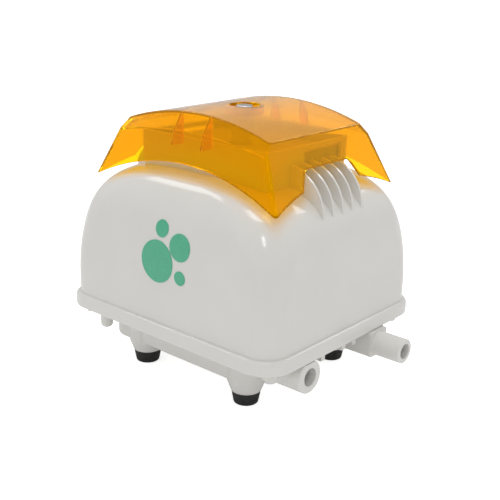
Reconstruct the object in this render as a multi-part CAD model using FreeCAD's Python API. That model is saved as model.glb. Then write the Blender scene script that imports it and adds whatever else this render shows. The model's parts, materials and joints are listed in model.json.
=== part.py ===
import FreeCAD, Part
import math
import os

# Linear electromagnetic diaphragm air pump. Millimetres, +Z up, floor at Z = 0.
# X runs along the pump, towards the air outlet. Y = 0 is the middle plane of the case.
# While modelling, X = 0 is the middle of the case. On export the solids move so that
# the middle of the whole length is at X = 0.

V = FreeCAD.Vector
X_AXIS = V(1, 0, 0)
Y_AXIS = V(0, 1, 0)
Z_AXIS = V(0, 0, 1)

# ---------------------------------------------------------------- driving dimensions
# Case flange and dome
flange_length = 204.0
flange_width = 176.0
flange_corner = 22.0
flange_bottom = 44.0
flange_height = 10.5
flange_edge_round = 3.4
flange_lower_round = 1.6
dome_step = 3.7
dome_corner = 17.0
dome_draft = 1.57
shoulder_rise = 29.5
roof_clearance = 13.5
roof_flat_length = 16.0
roof_edge_inset = 31.5
roof_corner = 40.0
end_fullness = 3.8
side_fullness = 2.5
case_wall = 3.0

# Cooling fins on both shoulders
fin_count = 5
fin_pitch = 11.0
fin_thickness = 1.8
fin_radius = 32.0
fin_centre_drop = 19.7

# Filter compartment on the roof
filter_box_end_inset = 38.3
filter_box_side_inset = 39.3
filter_box_height = 23.5
filter_box_wall = 2.4
filter_box_corner = 6.0
window_offset = 13.0
window_width = 42.0
window_sill = 6.5
window_height = 13.5
filter_clearance = 1.0
filter_corner = 3.0
grille_thickness = 2.5
grille_seat = 1.0
seat_radius = 3.0
seat_inset_x = 12.0
seat_inset_y = 8.0
filter_thickness = 14.0
post_wall = 2.5
post_height = 35.0
post_clearance = 0.6
inlet_slot_count = 8
inlet_slot_width = 4.0
grille_slot_width = 7.0

# Filter cover
cover_top_margin_x = 5.55
cover_top_margin_y = 5.85
cover_kink_margin_x = 9.8
cover_kink_margin_y = 12.75
cover_skirt_inset_x = 12.21
cover_skirt_inset_y = 16.96
cover_edge_rise = 31.9
cover_crown_bow = 11.2
cover_kink_rise = 23.7
cover_kink_bow = 7.5
cover_skirt_drop = 11.3
cover_front_arch = 20.9
cover_side_arch = 13.8
cover_wall = 2.5
cover_edge_round = 1.4
cover_corner_round = 3.2
cover_inner_round = 0.9
cover_tip_round = 5.0
notch_clearance = 2.1
notch_flare = 6.0
notch_rise = 12.0
notch_round = 6.0
well_clearance = 3.4
well_wall = 2.5
well_floor = 3.0
locating_rib_spacing = 27.0
locating_rib_clearance = 2.0
locating_rib_thickness = 1.6
locating_rib_drop = 4.0

# Cover screw
screw_radius = 3.0
screw_head_rim = 3.1
screw_head_height = 3.4
screw_head_round = 1.0
screw_slot_width = 1.4
screw_slot_depth = 1.6
screw_slot_angle = 15.0
screw_engagement = 12.0
screw_tip_chamfer = 0.6
washer_rim = 1.9
washer_thickness = 1.2
insert_wall = 1.5
insert_length = 15.0
running_clearance = 0.05
screw_hole_clearance = 0.6

# Base tray
tray_flange_thickness = 4.5
tray_fit_clearance = 0.4
gasket_thickness = 2.0
gasket_width = 4.0
gasket_clearance = 0.5
pan_left_inset = 24.0
pan_right_inset = 39.0
pan_side_inset = 26.0
pan_bottom = 17.0
pan_corner = 12.0
pan_wall = 3.0
pan_edge_round = 4.0
tank_left_inset = 16.0
tank_front_inset = 32.0
cable_bay_inset = 18.0
side_pocket_inset = 8.0
boss_rim = 0.2
boss_flare = 2.7
boss_height = 7.2
boss_head_gap = 6.0
pillar_radius = 6.0
pillar_height = 7.5
lid_pillar_radius = 4.5
clip_post_radius = 4.6
clip_post_round = 3.2
clip_post_height = 16.0
clip_post_inset_x = 7.0
clip_post_inset_y = 15.0
flange_rib_places = (-26.0, -2.0, 11.0)
flange_rib_thickness = 4.4
flange_rib_height = 6.0
side_rib_places = (-26.0, 20.0)
side_rib_thickness = 2.4
side_rib_reach = 2.5

# Feet
foot_inset_x = 12.6
foot_inset_y = 11.5
foot_height = 9.8
foot_bottom_radius = 8.65
foot_top_radius = 10.6
foot_edge_round = 1.2
foot_screw_radius = 2.0
foot_screw_head_rim = 1.8
foot_screw_head_height = 2.4
foot_screw_length = 18.0
foot_recess_depth = 5.6
foot_recess_clearance = 0.8
foot_washer_thickness = 1.0
foot_washer_clearance = 0.3

# Cord inlet, a moulded hollow cylinder
port_height = 34.0
inlet_inset = 16.3
inlet_radius = 11.6
inlet_bore = 6.4
inlet_mouth_round = 1.2

# Air outlet
outlet_inset = 29.1
outlet_reach = 24.2
outlet_radius = 9.0
outlet_bore = 5.6
outlet_flange_half = 10.0
outlet_flange_thickness = 3.0
outlet_flange_round = 2.0
outlet_mouth_round = 0.8
duct_inset = 1.0
duct_step = 0.6
socket_radius = 8.0
socket_depth = 8.0
socket_clearance = 0.1
o_ring_width = 2.0
o_ring_depth = 1.6

# Case screws
case_screw_inset_x = 13.0
case_screw_inset_y = 16.0
case_screw_radius = 2.0
case_screw_head_rim = 1.8
case_screw_head_height = 2.2
case_screw_length = 22.0
case_boss_wall = 3.2
case_boss_cap = 2.0
case_lug_height = 5.8

# Drive
rod_radius = 4.0
rod_half_length = 42.5
rod_collar_radius = 9.0
rod_collar_half = 4.0
sleeve_wall = 2.0
magnet_length = 16.0
magnet_width = 20.0
magnet_height = 26.0
stroke = 3.0
magnet_gap = 3.0
core_half_length = 26.0
core_stack = 28.0
core_leg_depth = 32.0
core_yoke = 10.0
core_centre_leg = 12.0
core_side_leg = 8.0
bobbin_wall = 1.5
bobbin_flange = 1.5
bobbin_inset = 3.0
bobbin_clearance = 0.2
coil_gap = 1.0
coil_inset = 0.5
coil_corner = 5.0

# Pump heads
end_plate_inner = 30.0
end_plate_thickness = 5.0
end_plate_margin = 4.0
head_half = 34.0
head_corner = 6.0
head_depth = 12.0
head_end_wall = 2.5
head_floor_gap = 1.0
chamber_wall = 7.0
diaphragm_thickness = 2.0
diaphragm_margin = 1.0
diaphragm_ridge = 3.0
disc_margin = 9.0
disc_thickness = 2.0
nut_thickness = 3.5
nut_across_flats = 11.0
valve_plate_thickness = 2.5
valve_port_radius = 4.0
flap_rim = 2.5
flap_thickness = 1.0
flap_travel = 1.2
flap_pocket_clearance = 2.0
head_cover_depth = 12.5
head_cover_wall = 2.5
plenum_rib_half = 1.5
head_screw_radius = 1.6
head_screw_clearance = 0.2
head_screw_head_radius = 3.2
head_screw_head_height = 2.0
head_screw_inset = 5.0
nipple_radius = 4.0
nipple_bore = 2.6
nipple_length = 6.0
hose_wall = 2.0

# Pump frame on its rubber mounts
mount_inset_x = 7.0
mount_inset_y = 9.0
mount_radius = 7.0
mount_waist_radius = 5.0
mount_height = 13.5
frame_plate_thickness = 3.0
frame_plate_corner = 8.0
frame_end_inset = 10.0
frame_side_inset = 1.0
frame_screw_radius = 2.0
frame_screw_head_radius = 4.0
frame_screw_head_height = 2.5
frame_screw_length = 12.0
core_screw_reach = 8.0

# Tank lid
lid_margin = 9.0
lid_front_margin = 6.0
lid_thickness = 3.0
lid_corner = 4.0
lid_gasket_thickness = 1.5
lid_screw_radius = 1.6
lid_screw_head_radius = 3.2
lid_screw_head_height = 2.0
lid_screw_depth = 8.0
lid_screw_inset = 4.5

# Terminal block
terminal_length = 30.0
terminal_width = 16.0
terminal_height = 14.0
terminal_ways = 3
terminal_screw_radius = 2.2
terminal_hole_radius = 2.5
terminal_hole_depth = 4.0

# Front badge
badge_film = 0.35
badge_x = 4.0
badge_rise = 50.5
badge_bubbles = ((-8.0, -6.0, 15.0), (13.0, 8.0, 9.5), (-5.0, 17.5, 6.0), (14.0, -13.0, 5.0))

# ---------------------------------------------------------------- places that follow
signs = (-1, 1)
half_length = flange_length / 2
half_width = flange_width / 2
flange_top = flange_bottom + flange_height
outlet_end = half_length + outlet_reach
origin_x = (outlet_end - half_length) / 2
tray_top = flange_bottom + tray_flange_thickness
ledge_height = tray_top + gasket_thickness
tray_half_length = half_length - case_wall - tray_fit_clearance
tray_half_width = half_width - case_wall - tray_fit_clearance
case_boss_radius = case_screw_radius + case_boss_wall
case_boss_top = flange_bottom - case_lug_height + case_screw_length + case_boss_cap
case_screw_places = [(sx * (half_length - case_screw_inset_x), sy * (half_width - case_screw_inset_y))
                     for sx in signs for sy in signs]

# Tray
pan_left = pan_left_inset - half_length
pan_right = half_length - pan_right_inset
pan_half_width = half_width - pan_side_inset
pan_floor = pan_bottom + pan_wall
tank_left = pan_left + tank_left_inset
tank_right = pan_right - pan_wall
tank_front = tank_front_inset - pan_half_width
tank_rear = pan_half_width - pan_wall
cable_bay_left = pan_left + cable_bay_inset
cable_bay_rear = tank_front - pan_wall
foot_places = [(sx * (pan_right - foot_inset_x), sy * (pan_half_width - foot_inset_y))
               for sx in signs for sy in signs]
boss_bottom_radius = foot_top_radius + boss_rim
boss_top_radius = boss_bottom_radius + boss_flare
foot_screw_head_radius = foot_screw_radius + foot_screw_head_rim
foot_recess_radius = foot_screw_head_radius + foot_recess_clearance
inlet_y = inlet_inset - pan_half_width
outlet_y = pan_half_width - outlet_inset
duct_end = half_length - duct_inset
lid_bottom = tray_top + lid_gasket_thickness
lid_top = lid_bottom + lid_thickness

# Pump, from the tray up to the roof
chamber_radius = head_half - chamber_wall
diaphragm_radius = head_half - diaphragm_margin
disc_radius = chamber_radius - disc_margin
valve_offset = (chamber_radius + 1.0) / 2
flap_radius = valve_port_radius + flap_rim
flap_pocket_radius = flap_radius + flap_pocket_clearance
end_plate_half_width = head_half + end_plate_margin
magnet_face = magnet_width / 2
core_face = magnet_face + magnet_gap
core_back = core_face + core_leg_depth + core_yoke
diaphragm_inner = end_plate_inner + end_plate_thickness
head_inner = diaphragm_inner + diaphragm_thickness
head_outer = head_inner + head_depth
valve_outer = head_outer + valve_plate_thickness
cover_outer = valve_outer + head_cover_depth
nipple_x = (valve_outer + cover_outer - head_cover_wall) / 2
frame_bottom = tray_top + mount_height
frame_top = frame_bottom + frame_plate_thickness
frame_half_length = half_length - frame_end_inset
frame_half_width = core_back - frame_side_inset
mount_places = [(sx * (frame_half_length - mount_inset_x), sy * (frame_half_width - mount_inset_y))
                for sx in signs for sy in signs]
drive_height = frame_top + head_floor_gap + head_half
roof_height = drive_height + end_plate_half_width + roof_clearance + case_wall
coil_inner_x = core_centre_leg / 2 + bobbin_wall
coil_inner_z = core_stack / 2 + bobbin_wall
coil_outer_x = core_half_length - core_side_leg - coil_gap
coil_outer_z = coil_inner_z + coil_outer_x - coil_inner_x
bobbin_start = core_face + bobbin_inset
bobbin_end = core_back - core_yoke - bobbin_clearance

# Dome, filter compartment and cover
dome_length = flange_length - 2 * dome_step
dome_width = flange_width - 2 * dome_step
shoulder_height = flange_top + shoulder_rise
roof_flat_width = dome_width - 2 * roof_edge_inset
filter_box_length = dome_length - 2 * filter_box_end_inset
filter_box_width = dome_width - 2 * filter_box_side_inset
filter_box_top = roof_height + filter_box_height
fin_centre_z = roof_height - fin_centre_drop
fin_span = (fin_count - 1) * fin_pitch + fin_thickness
post_top = roof_height + post_height
insert_radius = screw_radius + insert_wall
post_radius = insert_radius + post_wall
screw_head_radius = screw_radius + screw_head_rim
washer_radius = screw_head_radius + washer_rim
well_radius = washer_radius + well_clearance
grille_bottom = roof_height + grille_seat
grille_top = grille_bottom + grille_thickness
cover_top_length = filter_box_length + 2 * cover_top_margin_x
cover_top_width = filter_box_width + 2 * cover_top_margin_y
cover_kink_length = filter_box_length + 2 * cover_kink_margin_x
cover_kink_width = filter_box_width + 2 * cover_kink_margin_y
cover_skirt_length = dome_length - 2 * cover_skirt_inset_x
cover_skirt_width = dome_width - 2 * cover_skirt_inset_y
cover_edge_height = roof_height + cover_edge_rise
cover_kink_height = roof_height + cover_kink_rise
cover_skirt_height = roof_height - cover_skirt_drop
cover_crown = cover_edge_height + cover_crown_bow
notch_top = roof_height + notch_rise
notch_top_width = fin_span + 2 * notch_clearance
notch_bottom_width = notch_top_width + 2 * notch_flare
well_floor_top = post_top + well_floor
washer_top = well_floor_top + washer_thickness
badge_z = flange_top + badge_rise


# ---------------------------------------------------------------- shape helpers
def block(x0, x1, y0, y1, z0, z1):
    return Part.makeBox(x1 - x0, y1 - y0, z1 - z0, V(x0, y0, z0))


def cylinder(radius, length, base, axis=Z_AXIS):
    return Part.makeCylinder(radius, length, base, axis)


def tube(outer, inner, length, base, axis=Z_AXIS):
    return cylinder(outer, length, base, axis).cut(cylinder(inner, length, base, axis))


def rounded_wire(half_x, half_y, radius, z, centre_x=0.0, centre_y=0.0):
    """A rectangle with round corners, lying flat at height z."""
    edges = []
    ax = half_x - radius
    ay = half_y - radius
    corners = ((ax, ay, 0), (-ax, ay, 90), (-ax, -ay, 180), (ax, -ay, 270))
    arcs = []
    for cx, cy, start in corners:
        points = []
        for step in (0, 45, 90):
            angle = math.radians(start + step)
            x = centre_x + cx + radius * math.cos(angle)
            y = centre_y + cy + radius * math.sin(angle)
            points.append(V(x, y, z))
        arcs.append(points)
    for index, points in enumerate(arcs):
        edges.append(Part.Arc(*points).toShape())
        edges.append(Part.LineSegment(points[2], arcs[(index + 1) % 4][0]).toShape())
    return Part.Wire(edges)


def rounded_slab(half_x, half_y, radius, z0, z1, centre_x=0.0, centre_y=0.0):
    face = Part.Face(rounded_wire(half_x, half_y, radius, z0, centre_x, centre_y))
    return face.extrude(V(0, 0, z1 - z0))


def end_slab(half, radius, x0, x1):
    """A square plate with round corners, standing across the drive axis."""
    slab = rounded_slab(half, half, radius, x0, x1)
    slab.rotate(V(0, 0, 0), V(1, 1, 1), 120)
    return slab.translated(V(0, 0, drive_height))


def polygon_prism(points, direction):
    wire = Part.makePolygon(points + [points[0]])
    return Part.Face(wire).extrude(direction)


def join(shapes):
    result = shapes[0]
    if len(shapes) > 1:
        result = result.fuse(shapes[1:])
    return result.removeSplitter()


def cut_all(shape, tools):
    return shape.cut(Part.makeCompound(tools))


def group(shapes):
    return Part.makeCompound(shapes)


def mirror_x(shape):
    return shape.mirror(V(0, 0, 0), X_AXIS)


def mirror_y(shape):
    return shape.mirror(V(0, 0, 0), Y_AXIS)


def save(node, shape):
    placed = shape.translated(V(-origin_x, 0, 0))
    placed.exportStep("parts/" + node + ".step")


# ---------------------------------------------------------------- case
def fullness(share, exponent):
    return (1.0 - share ** exponent) ** (1.0 / exponent)


def dome_section(height, inset):
    """Half length, half width and corner radius of the dome's outline at a height."""
    slope = math.tan(math.radians(dome_draft))
    lean = slope * (min(height, shoulder_height) - flange_top)
    wall_x = dome_length / 2 - lean
    wall_y = dome_width / 2 - lean
    if height <= shoulder_height:
        return wall_x - inset, wall_y - inset, dome_corner - inset / 2
    share = min(1.0, (height - shoulder_height) / (roof_height - inset - shoulder_height))
    flat_x = roof_flat_length / 2
    flat_y = roof_flat_width / 2
    half_x = flat_x + (wall_x - flat_x) * fullness(share, end_fullness) - inset
    half_y = flat_y + (wall_y - flat_y) * fullness(share, side_fullness) - inset
    radius = dome_corner + (roof_corner - dome_corner) * share - inset / 2
    return half_x, half_y, min(radius, 0.9 * min(half_x, half_y))


def dome_solid(inset, bottom):
    """The dome's outer form, or its inner one, moved in by inset."""
    top = roof_height - inset
    steps = 9
    heights = [bottom, (bottom + shoulder_height) / 2, shoulder_height]
    for step in range(1, steps):
        share = math.sin(math.radians(90.0 * step / steps)) ** (2.0 / end_fullness)
        heights.append(shoulder_height + (top - shoulder_height) * share)
    heights.append(top)
    wires = [rounded_wire(*dome_section(z, inset), z) for z in heights]
    return Part.makeLoft(wires, True, False)


def filter_box_slab(inset, z0, z1):
    return rounded_slab(filter_box_length / 2 - inset, filter_box_width / 2 - inset,
                        max(filter_box_corner - inset * 0.8, 0.5), z0, z1)


def cooling_fins(outer):
    """Quarter discs that stand on both shoulders, against the filter box."""
    centre_x = dome_section(fin_centre_z, 0.0)[0] - fin_radius
    root_x = filter_box_length / 2
    start_z = fin_centre_z + math.sqrt(fin_radius ** 2 - (root_x - centre_x) ** 2)
    half_angle = math.atan2(start_z - fin_centre_z, root_x - centre_x) / 2
    middle = V(centre_x + fin_radius * math.cos(half_angle), 0,
               fin_centre_z + fin_radius * math.sin(half_angle))
    root = V(root_x, 0, fin_centre_z)
    start = V(root_x, 0, start_z)
    tip = V(centre_x + fin_radius, 0, fin_centre_z)
    edges = [
        Part.LineSegment(root, start).toShape(),
        Part.Arc(start, middle, tip).toShape(),
        Part.LineSegment(tip, root).toShape(),
    ]
    blade = Part.Face(Part.Wire(edges)).extrude(V(0, fin_thickness, 0))
    fins = []
    for index in range(fin_count):
        y = (index - (fin_count - 1) / 2) * fin_pitch - fin_thickness / 2
        fin = blade.translated(V(0, y, 0)).cut(outer)
        fins.append(fin)
        fins.append(mirror_x(fin))
    return group(fins)


def case_bosses(radius, z0, z1):
    return [cylinder(radius, z1 - z0, V(x, y, z0)) for x, y in case_screw_places]


def upper_housing(outer, inner):
    """The dome and its flange, with screw bosses inside and air slots in the roof."""
    band = rounded_slab(half_length, half_width, flange_corner, flange_bottom, flange_top)
    rim = [edge for edge in band.Edges if edge.BoundBox.ZMin > flange_top - 0.01]
    band = band.makeFillet(flange_edge_round, rim)
    low = [edge for edge in band.Edges if edge.BoundBox.ZMax < flange_bottom + 0.01]
    band = band.makeFillet(flange_lower_round, low)
    solid = join([outer, band]).cut(inner)
    pocket = rounded_slab(half_length - case_wall, half_width - case_wall, flange_corner - case_wall,
                          flange_bottom, ledge_height)
    solid = solid.cut(pocket)
    bosses = [boss.common(outer) for boss in case_bosses(case_boss_radius, ledge_height, case_boss_top)]
    solid = join([solid] + bosses)
    holes = case_bosses(case_screw_radius, ledge_height - 1.0, case_boss_top - case_boss_cap)
    slot_pitch = (filter_box_length - 2 * filter_box_wall) / (inlet_slot_count + 1)
    slot_half = filter_box_width / 8
    for index in range(inlet_slot_count):
        x = (index - (inlet_slot_count - 1) / 2) * slot_pitch
        for side in signs:
            y = side * filter_box_width / 4
            holes.append(block(x - inlet_slot_width / 2, x + inlet_slot_width / 2,
                               y - slot_half, y + slot_half, roof_height - 3 * case_wall, roof_height + 1))
    return cut_all(solid, holes)


def filter_box(outer):
    """Four walls that stand on the roof, with a window in each end wall."""
    base = roof_height - 4 * case_wall
    walls = filter_box_slab(0.0, base, filter_box_top)
    walls = walls.cut(filter_box_slab(filter_box_wall, base, filter_box_top))
    reach = filter_box_length / 2 + 1
    between = filter_box_length / 2 - filter_box_wall - 1
    sill = roof_height + window_sill
    lintel = sill + window_height
    window = block(-reach, reach, window_offset - window_width / 2, window_offset + window_width / 2,
                   sill, lintel)
    window = window.cut(block(-between, between, -filter_box_width / 2, filter_box_width / 2, sill, lintel))
    return walls.cut(outer).cut(window)


def cover_post(outer):
    """The post on the roof that the cover is screwed to."""
    base = roof_height - 4 * case_wall
    post = cylinder(post_radius, post_top - base, V(0, 0, base)).cut(outer)
    return post.cut(cylinder(insert_radius, insert_length, V(0, 0, post_top - insert_length)))


def grille_seats(outer):
    x = filter_box_length / 2 - seat_inset_x
    y = filter_box_width / 2 - seat_inset_y
    base = roof_height - 4 * case_wall
    return group([cylinder(seat_radius, grille_bottom - base, V(sx * x, sy * y, base)).cut(outer)
                  for sx in signs for sy in signs])


def front_badge(outer):
    """Thin printed film on the front wall, in four round pieces."""
    film = dome_solid(-badge_film, flange_top).cut(outer)
    discs = [cylinder(radius, half_width, V(badge_x + dx, 0, badge_z + dz), -Y_AXIS)
             for dx, dz, radius in badge_bubbles]
    return group([film.common(disc) for disc in discs])


# ---------------------------------------------------------------- filter cover
def parabola(half_x, y, z, rise):
    curve = Part.BezierCurve()
    curve.setPoles([V(-half_x, y, z), V(0, y, z + 2 * rise), V(half_x, y, z)])
    return curve.toShape()


def cover_form(inset, drop):
    """The cover's outside, or its inside moved in, closed by a flat bottom below the skirt."""
    depth = 5.0
    reach = (cover_kink_height - cover_skirt_height + depth) / (cover_kink_height - cover_skirt_height)
    foot_x = (cover_kink_length + (cover_skirt_length - cover_kink_length) * reach) / 2
    foot_y = (cover_kink_width + (cover_skirt_width - cover_kink_width) * reach) / 2
    foot_z = cover_skirt_height - depth
    levels = (
        (cover_top_length / 2, cover_top_width / 2, cover_edge_height - drop, cover_crown_bow),
        (cover_kink_length / 2, cover_kink_width / 2, cover_kink_height - drop * 0.5, cover_kink_bow),
        (foot_x, foot_y, foot_z, 0.0),
    )
    faces = []
    rings = []
    for half_x, half_y, z, rise in levels:
        hx = half_x - inset
        hy = half_y - inset
        corners = [V(-hx, -hy, z), V(hx, -hy, z), V(hx, hy, z), V(-hx, hy, z)]
        if rise > 0:
            front = parabola(hx, -hy, z, rise)
            back = parabola(hx, hy, z, rise)
        else:
            front = Part.LineSegment(corners[0], corners[1]).toShape()
            back = Part.LineSegment(corners[3], corners[2]).toShape()
        right = Part.LineSegment(corners[1], corners[2]).toShape()
        left = Part.LineSegment(corners[0], corners[3]).toShape()
        rings.append((front, back, left, right))
    faces.append(Part.makeRuledSurface(rings[0][0], rings[0][1]))
    for upper, lower in zip(rings, rings[1:]):
        for a, b in zip(upper, lower):
            faces.append(Part.makeRuledSurface(a, b))
    faces.append(Part.makeRuledSurface(rings[2][0], rings[2][1]))
    shell = Part.makeShell(faces)
    shell.sewShape()
    solid = Part.makeSolid(shell)
    if solid.Volume < 0:
        solid.reverse()
    return solid


def arch_prism(half, z, rise, along_y):
    """The space under an arched skirt edge, all the way through the cover."""
    reach = 300.0
    bottom = z - 20.0
    wide = 1.2
    drop = rise * (wide ** 2 - 1)
    curve = Part.BezierCurve()
    left = V(-half * wide, 0, z - drop)
    right = V(half * wide, 0, z - drop)
    apex = V(0, 0, z + rise + (rise + drop))
    curve.setPoles([left, apex, right])
    edges = [
        curve.toShape(),
        Part.LineSegment(right, V(right.x, 0, bottom - drop)).toShape(),
        Part.LineSegment(V(right.x, 0, bottom - drop), V(left.x, 0, bottom - drop)).toShape(),
        Part.LineSegment(V(left.x, 0, bottom - drop), left).toShape(),
    ]
    prism = Part.Face(Part.Wire(edges)).extrude(V(0, reach, 0)).translated(V(0, -reach / 2, 0))
    if not along_y:
        prism.rotate(V(0, 0, 0), Z_AXIS, 90)
    return prism


def notch_prism():
    """The space cut out of both side skirts for the cooling fins, with round upper corners."""
    low = cover_skirt_height - 2.0
    slant = (notch_bottom_width - notch_top_width) / 2 / (notch_top - cover_skirt_height - cover_side_arch)
    low_half = notch_top_width / 2 + slant * (notch_top - low)
    points = [V(0, -low_half, low), V(0, low_half, low),
              V(0, notch_top_width / 2, notch_top), V(0, -notch_top_width / 2, notch_top)]
    reach = cover_skirt_length
    prism = polygon_prism(points, V(reach, 0, 0)).translated(V(-reach / 2, 0, 0))
    rounds = [edge for edge in prism.Edges
              if edge.BoundBox.XLength > reach - 1 and edge.BoundBox.ZMin > notch_top - 1]
    prism = prism.makeFillet(notch_round, rounds)
    gap = cover_kink_length / 2 - 12.0
    return prism.cut(block(-gap, gap, -reach, reach, low - 1, notch_top + 1))


def slanted_edges(form):
    """The four corner edges of each sloping band of the cover."""
    return [edge for edge in form.Edges if edge.BoundBox.ZLength > 5.0 and edge.BoundBox.YLength > 1.0
            and edge.BoundBox.XLength < cover_skirt_length / 4]


def filter_cover():
    outer = cover_form(0.0, 0.0)
    outer = outer.makeFillet(cover_corner_round, slanted_edges(outer))
    rim = [edge for edge in outer.Edges if edge.BoundBox.ZMin > cover_edge_height - cover_edge_round]
    outer = outer.makeFillet(cover_edge_round, rim)
    limits = rounded_slab(cover_skirt_length / 2, cover_skirt_width / 2, cover_tip_round,
                          cover_skirt_height - cover_skirt_drop, cover_crown + cover_skirt_drop)
    outer = outer.common(limits)
    inner = cover_form(cover_wall, cover_wall)
    inner = inner.makeFillet(cover_inner_round, slanted_edges(inner))
    well_outer = cylinder(well_radius + well_wall, cover_crown + 5 - post_top, V(0, 0, post_top))
    shell = outer.cut(inner)
    ribs = []
    for x in (-locating_rib_spacing / 2, locating_rib_spacing / 2):
        for side in signs:
            root = side * cover_kink_width / 2
            tip = side * (filter_box_width / 2 + locating_rib_clearance)
            y0 = min(root, tip)
            y1 = max(root, tip)
            rib = block(x - locating_rib_thickness / 2, x + locating_rib_thickness / 2,
                        y0, y1, cover_kink_height - locating_rib_drop, cover_crown)
            ribs.append(rib)
    added = join([well_outer] + ribs).common(outer)
    shell = join([shell, added])
    cuts = [
        arch_prism(cover_skirt_length / 2, cover_skirt_height, cover_front_arch, True),
        arch_prism(cover_skirt_width / 2, cover_skirt_height, cover_side_arch, False),
        notch_prism(),
        cylinder(well_radius, 20.0, V(0, 0, well_floor_top)),
        cylinder(screw_radius + screw_hole_clearance, 20.0, V(0, 0, post_top - 5.0)),
    ]
    for tool in cuts:
        shell = shell.cut(tool)
    return shell


def cover_screw():
    head = cylinder(screw_head_radius, screw_head_height, V(0, 0, washer_top))
    top = [edge for edge in head.Edges if edge.BoundBox.ZMin > washer_top + screw_head_height - 0.01]
    head = head.makeFillet(screw_head_round, top)
    length = washer_top - post_top + screw_engagement
    shank = cylinder(screw_radius, length, V(0, 0, washer_top - length))
    tip = [edge for edge in shank.Edges if edge.BoundBox.ZMax < washer_top - length + 0.01]
    shank = shank.makeChamfer(screw_tip_chamfer, tip)
    half = screw_slot_width / 2
    slot = block(-screw_head_radius, screw_head_radius, -half, half,
                 washer_top + screw_head_height - screw_slot_depth, washer_top + screw_head_height + 1)
    slot.rotate(V(0, 0, 0), Z_AXIS, screw_slot_angle)
    return join([head, shank]).cut(slot)


def cover_screw_washer():
    return tube(washer_radius, screw_radius + 2 * running_clearance, washer_thickness,
                V(0, 0, well_floor_top))


def screw_insert():
    return tube(insert_radius, screw_radius + running_clearance, insert_length,
                V(0, 0, post_top - insert_length))


# ---------------------------------------------------------------- air filter
def filter_grille():
    half_x = filter_box_length / 2 - filter_box_wall - filter_clearance
    half_y = filter_box_width / 2 - filter_box_wall - filter_clearance
    plate = rounded_slab(half_x, half_y, filter_corner, grille_bottom, grille_top)
    holes = [cylinder(post_radius + post_clearance, 10.0, V(0, 0, grille_bottom - 1))]
    pitch = 2 * half_x / (inlet_slot_count + 1)
    for index in range(inlet_slot_count):
        x = (index - (inlet_slot_count - 1) / 2) * pitch
        for side in signs:
            y = side * half_y * 0.56
            holes.append(block(x - grille_slot_width / 2, x + grille_slot_width / 2,
                               y - half_y * 0.3, y + half_y * 0.3, grille_bottom - 1, grille_top + 1))
    return cut_all(plate, holes)


def filter_element():
    half_x = filter_box_length / 2 - filter_box_wall - filter_clearance
    half_y = filter_box_width / 2 - filter_box_wall - filter_clearance
    pad = rounded_slab(half_x, half_y, filter_corner, grille_top, grille_top + filter_thickness)
    return pad.cut(cylinder(post_radius + post_clearance, 2 * filter_thickness, V(0, 0, grille_top - 1)))


# ---------------------------------------------------------------- base tray and feet
def foot_boss(x, y):
    cone = Part.makeCone(boss_bottom_radius, boss_top_radius, boss_height, V(x, y, foot_height))
    column_top = flange_bottom - boss_head_gap
    base = foot_height + boss_height
    column = cylinder(boss_top_radius, column_top - base, V(x, y, base))
    return join([cone, column])


def tray_ribs():
    ribs = []
    half = flange_rib_thickness / 2
    for y in flange_rib_places:
        ribs.append(block(pan_right - 1, tray_half_length - 1, y - half, y + half,
                          flange_bottom - flange_rib_height, flange_bottom + 1))
    half = side_rib_thickness / 2
    for x in side_rib_places:
        for side in signs:
            root = side * (pan_half_width - 1)
            points = [
                V(x - half, root, pan_bottom + pan_edge_round),
                V(x - half, side * (pan_half_width + side_rib_reach), flange_bottom + 1),
                V(x - half, root, flange_bottom + 1),
            ]
            ribs.append(polygon_prism(points, V(side_rib_thickness, 0, 0)))
    return ribs


def tray_ports():
    """The cord inlet and the duct that the air outlet is fitted to, both cut level under the flange."""
    start = pan_right - 2
    inlet = cylinder(inlet_radius, half_length - start, V(start, inlet_y, port_height), X_AXIS)
    mouth = [edge for edge in inlet.Edges if edge.BoundBox.XMin > half_length - 0.01]
    inlet = inlet.makeFillet(inlet_mouth_round, mouth)
    above = block(0, flange_length, inlet_y - inlet_radius, inlet_y + inlet_radius,
                  flange_bottom, flange_bottom + inlet_radius)
    duct = block(start, duct_end, outlet_y - outlet_flange_half + duct_step, outlet_y + outlet_flange_half,
                 port_height - outlet_radius + duct_step, flange_bottom)
    return [inlet.cut(above), duct]


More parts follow.
